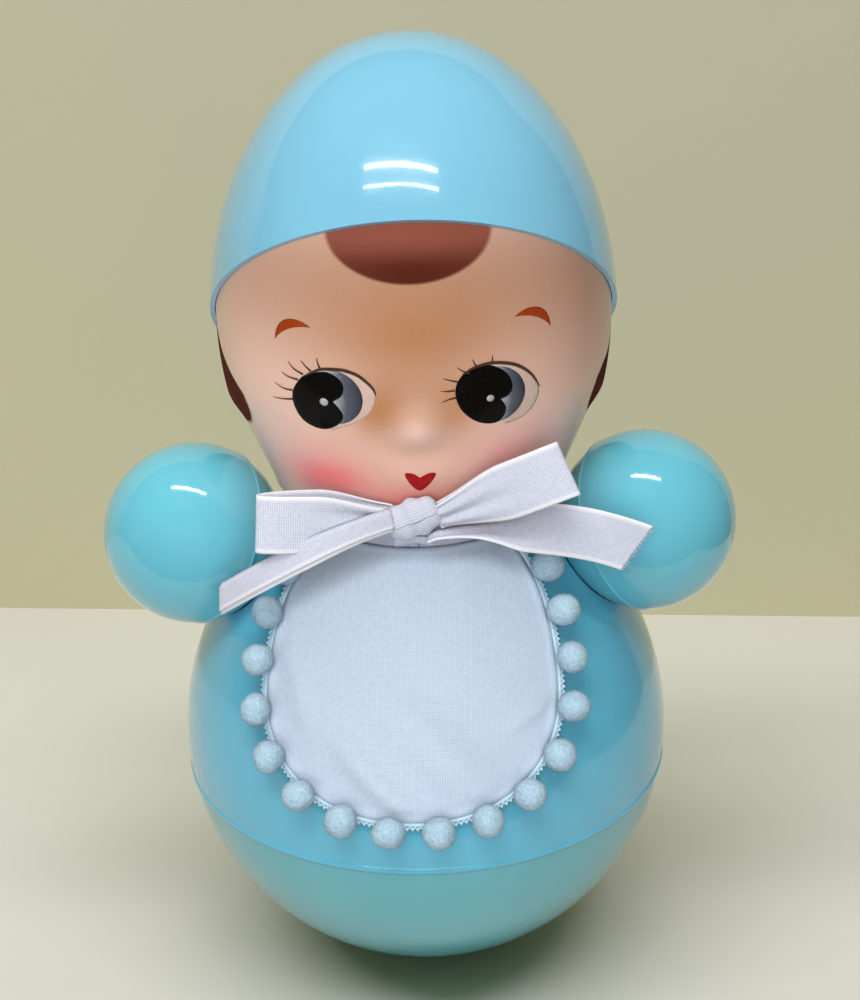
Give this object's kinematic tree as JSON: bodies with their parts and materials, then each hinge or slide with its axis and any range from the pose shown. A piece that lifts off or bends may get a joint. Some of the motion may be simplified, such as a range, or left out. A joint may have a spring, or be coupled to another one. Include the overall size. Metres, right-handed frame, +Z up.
{
  "type": "roly poly toy",
  "caption": "Self-righting roly poly doll: weighted round body with a chime, turning head in a bonnet, turning ball arms, pom-pom bib and ribbon bow.",
  "frame": {"origin": "centre of the small moulded flat that the toy stands on", "axes": "+Z up; the doll faces -Y and its left arm is on +X"},
  "size_m": [0.1808, 0.1565, 0.2768],
  "materials": {
    "body_plastic": "glossy aqua moulding",
    "arm_plastic": "glossy light blue moulding",
    "bonnet_plastic": "glossy sky blue moulding",
    "skin_plastic": "satin flesh moulding with airbrushed hair and cheeks",
    "eye_print": "printed eye",
    "brow_print": "printed brow",
    "lip_print": "printed lips",
    "bib_cotton": "white plain-weave cotton",
    "trim_blue": "pale blue braid and pom-poms",
    "ribbon_satin": "white woven ribbon",
    "weight_iron": "cast",
    "steel": "plain",
    "rod_steel": "bright drawn wire",
    "plate_plastic": "cream moulding",
    "hammer_wood": "turned bead"
  },
  "bodies": {
    "torso": {"lower_bowl": "body_plastic", "upper_body": "body_plastic", "base_weight": "weight_iron", "chime_plate": "plate_plastic", "plate_screws": "steel", "left_rod_block": "steel", "right_rod_block": "steel", "block_screws": "steel", "chime_rod_1": "rod_steel", "chime_rod_2": "rod_steel", "chime_rod_3": "rod_steel", "chime_rod_4": "rod_steel", "hammer_pin": "steel", "bib_cloth": "bib_cotton", "bib_braid": "trim_blue", "pompoms": "trim_blue", "ribbon_neck_band": "ribbon_satin", "ribbon_crossing": "ribbon_satin", "bow_knot": "ribbon_satin", "left_bow_loop": "ribbon_satin", "right_bow_loop": "ribbon_satin", "left_bow_tail": "ribbon_satin", "right_bow_tail": "ribbon_satin"},
    "head": {"neck_piece": "skin_plastic", "neck_retainer": "steel", "face_shell": "skin_plastic", "bonnet": "bonnet_plastic", "left_eye_print": "eye_print", "right_eye_print": "eye_print", "brow_prints": "brow_print", "lip_print": "lip_print"},
    "left_arm": {"left_arm_outer": "arm_plastic", "left_arm_inner": "arm_plastic", "left_arm_washer": "steel"},
    "right_arm": {"right_arm_outer": "arm_plastic", "right_arm_inner": "arm_plastic", "right_arm_washer": "steel"},
    "hammer": {"hammer_arm": "plate_plastic", "hammer_head": "hammer_wood"}
  },
  "joints": [
    {"name": "neck_turn", "type": "hinge", "parent": "torso", "child": "head", "pos_m": [0, 0, 0.14099], "axis": [0, 0, 1], "range_deg": [-60, 60]},
    {"name": "left_arm_turn", "type": "hinge", "parent": "torso", "child": "left_arm", "pos_m": [0.0645, -0.01195, 0.13994], "axis": [0.7849, -0.4532, 0.4226], "continuous": true},
    {"name": "right_arm_turn", "type": "hinge", "parent": "torso", "child": "right_arm", "pos_m": [-0.0645, -0.01195, 0.13994], "axis": [-0.7849, -0.4532, 0.4226], "continuous": true},
    {"name": "hammer_swing", "type": "hinge", "parent": "torso", "child": "hammer", "pos_m": [0, 0, 0.08696], "axis": [0, 1, 0], "range_deg": [-15, 15]}
  ]
}
